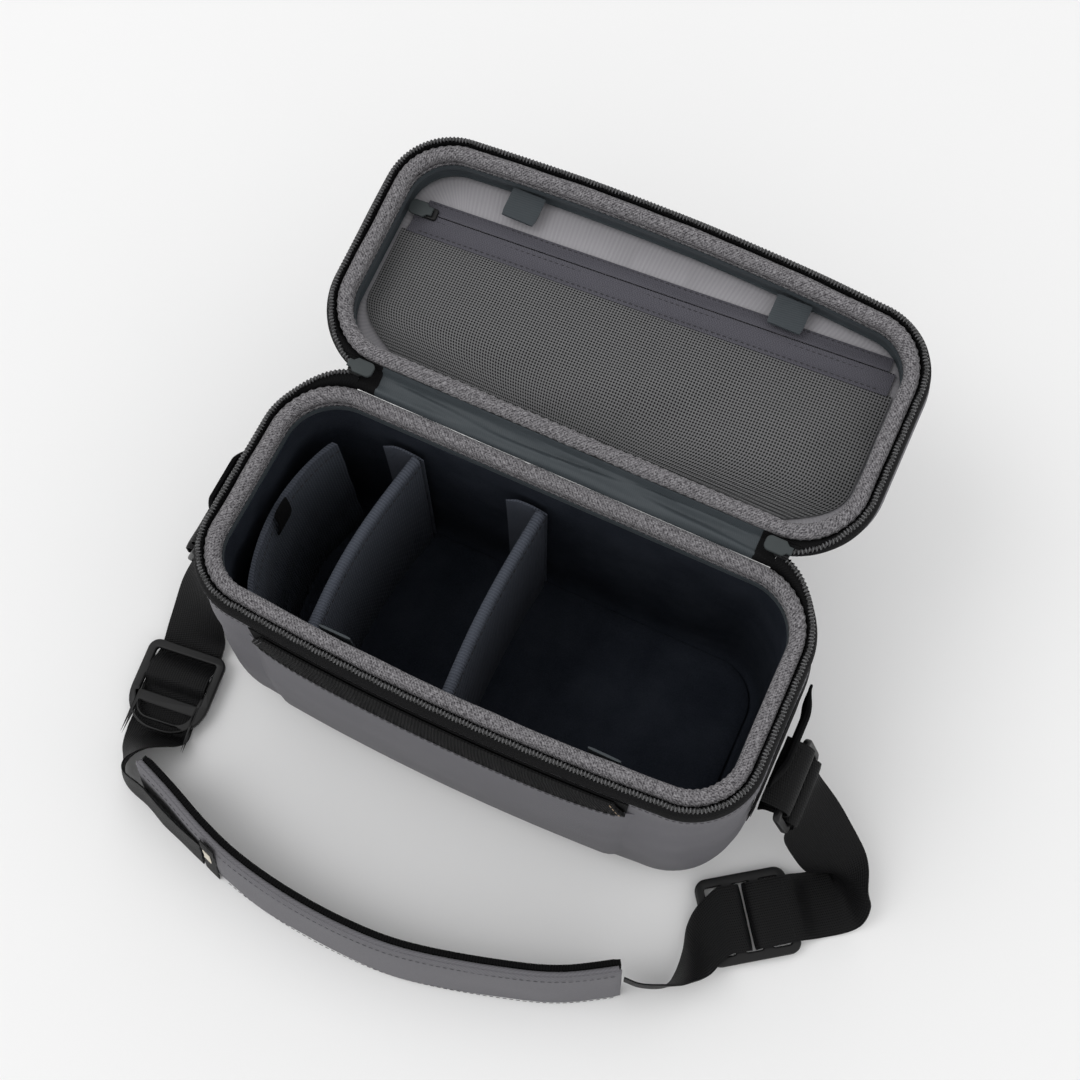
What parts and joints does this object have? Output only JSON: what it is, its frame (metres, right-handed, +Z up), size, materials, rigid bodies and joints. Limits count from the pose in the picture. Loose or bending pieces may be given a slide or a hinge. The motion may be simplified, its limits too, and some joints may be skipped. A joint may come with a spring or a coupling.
{
  "type": "shoulder camera bag",
  "caption": "Shoulder camera bag with a moulded grey shell, a zipped padded lid lying open, divided padded inside, front slip pocket and a webbing strap with a shoulder pad.",
  "frame": {"origin": "middle of the base, on the surface the bag stands on", "axes": "+X along the bag's length, +Y from the front pocket to the lid's hinge, +Z up"},
  "size_m": [0.4549, 0.4218, 0.197],
  "materials": {
    "shell_fabric": "matte woven laminate over foam",
    "heather_twill": "heather twill over a padded rim",
    "black_tape": "black woven tape and cloth",
    "zip_coil": "black helical zip coil",
    "webbing": "black flat webbing",
    "slate_nylon": "slate woven nylon",
    "dark_lining": "brushed dark lining over foam",
    "ribbed_lining": "fine-ribbed charcoal cloth over a padded board",
    "light_twill": "light grey twill",
    "pocket_zip_tape": "grey zip tape",
    "mesh_cloth": "open grey mesh",
    "black_plastic": "black moulded plastic, satin",
    "pull_rubber": "dark grey rubbery moulding"
  },
  "bodies": {
    "bag": {"body_shell": "shell_fabric", "front_pocket_panel": "shell_fabric", "pad_cover": "shell_fabric", "body_collar": "heather_twill", "body_zip_tape": "black_tape", "front_pocket_facing": "black_tape", "back_panel": "black_tape", "side_panel_left": "black_tape", "side_panel_right": "black_tape", "grab_handle_left": "black_tape", "grab_handle_right": "black_tape", "organiser_tab": "black_tape", "hinge_gusset_left": "black_tape", "hinge_gusset_right": "black_tape", "pad_mesh": "black_tape", "body_zip_coil": "zip_coil", "front_pocket_band": "webbing", "anchor_tab_left": "webbing", "anchor_tab_right": "webbing", "strap_left_upper": "webbing", "strap_left_lower": "webbing", "strap_right_lower": "webbing", "strap_right_upper": "webbing", "pad_tab": "webbing", "front_wall_tab_left": "slate_nylon", "front_wall_tab_right": "slate_nylon", "hinge_fabric": "slate_nylon", "body_liner": "dark_lining", "base_pad": "dark_lining", "organiser_pocket": "ribbed_lining", "strap_ring_left": "black_plastic", "strap_ring_right": "black_plastic", "zip_slider_left": "black_plastic", "zip_slider_right": "black_plastic", "buckle_left": "black_plastic", "buckle_right": "black_plastic"},
    "lid": {"lid_shell": "shell_fabric", "lid_lining": "slate_nylon", "lid_panel": "light_twill", "lid_collar": "heather_twill", "lid_zip_tape": "black_tape", "lid_zip_coil": "zip_coil", "pocket_zip_tape_upper": "pocket_zip_tape", "pocket_zip_tape_lower": "pocket_zip_tape", "pocket_zip_coil": "zip_coil", "mesh_pocket": "mesh_cloth"},
    "pocket_slider": {"pocket_slider": "black_plastic"},
    "pocket_pull": {"pocket_pull": "pull_rubber"},
    "lid_tab_left": {"lid_tab_left": "slate_nylon"},
    "lid_tab_right": {"lid_tab_right": "slate_nylon"},
    "zip_pull_left": {"zip_pull_left": "pull_rubber"},
    "zip_pull_right": {"zip_pull_right": "pull_rubber"},
    "divider_left": {"divider_left": "ribbed_lining", "divider_left_flap_front": "black_tape", "divider_left_flap_rear": "black_tape"},
    "divider_right": {"divider_right": "ribbed_lining", "divider_right_flap_front": "black_tape", "divider_right_flap_rear": "black_tape"}
  },
  "joints": [
    {"name": "lid_hinge", "type": "hinge", "parent": "bag", "child": "lid", "pos_m": [0, 0.0763, 0.17], "axis": [1, 0, 0], "range_deg": [0, 172], "deforming": ["hinge_fabric", "hinge_gusset_left", "hinge_gusset_right"]},
    {"name": "zip_pull_left_swing", "type": "hinge", "parent": "bag", "child": "zip_pull_left", "pos_m": [-0.1275, 0.0768, 0.17365], "axis": [0, -1, 0], "range_deg": [0, 170]},
    {"name": "zip_pull_right_swing", "type": "hinge", "parent": "bag", "child": "zip_pull_right", "pos_m": [0.1275, 0.0768, 0.17365], "axis": [0, 1, 0], "range_deg": [0, 170]},
    {"name": "divider_left_slide", "type": "slide", "parent": "bag", "child": "divider_left", "axis": [1, 0, 0], "range_m": [-0.006, 0.02]},
    {"name": "divider_right_slide", "type": "slide", "parent": "bag", "child": "divider_right", "axis": [1, 0, 0], "range_m": [-0.02, 0.04]},
    {"name": "pocket_zip_travel", "type": "slide", "parent": "lid", "child": "pocket_slider", "axis": [0.9983, 0.057, 0.008], "range_m": [0, 0.254]},
    {"name": "pocket_pull_swing", "type": "hinge", "parent": "pocket_slider", "child": "pocket_pull", "pos_m": [-0.13078, 0.18115, 0.16949], "axis": [-0.0576, 0.9886, 0.1389], "range_deg": [0, 150]},
    {"name": "lid_tab_left_flip", "type": "hinge", "parent": "lid", "child": "lid_tab_left", "pos_m": [-0.084, 0.21133, 0.17565], "axis": [-1, 0, 0], "range_deg": [0, 50]},
    {"name": "lid_tab_right_flip", "type": "hinge", "parent": "lid", "child": "lid_tab_right", "pos_m": [0.075, 0.21133, 0.17565], "axis": [-1, 0, 0], "range_deg": [0, 50]}
  ]
}
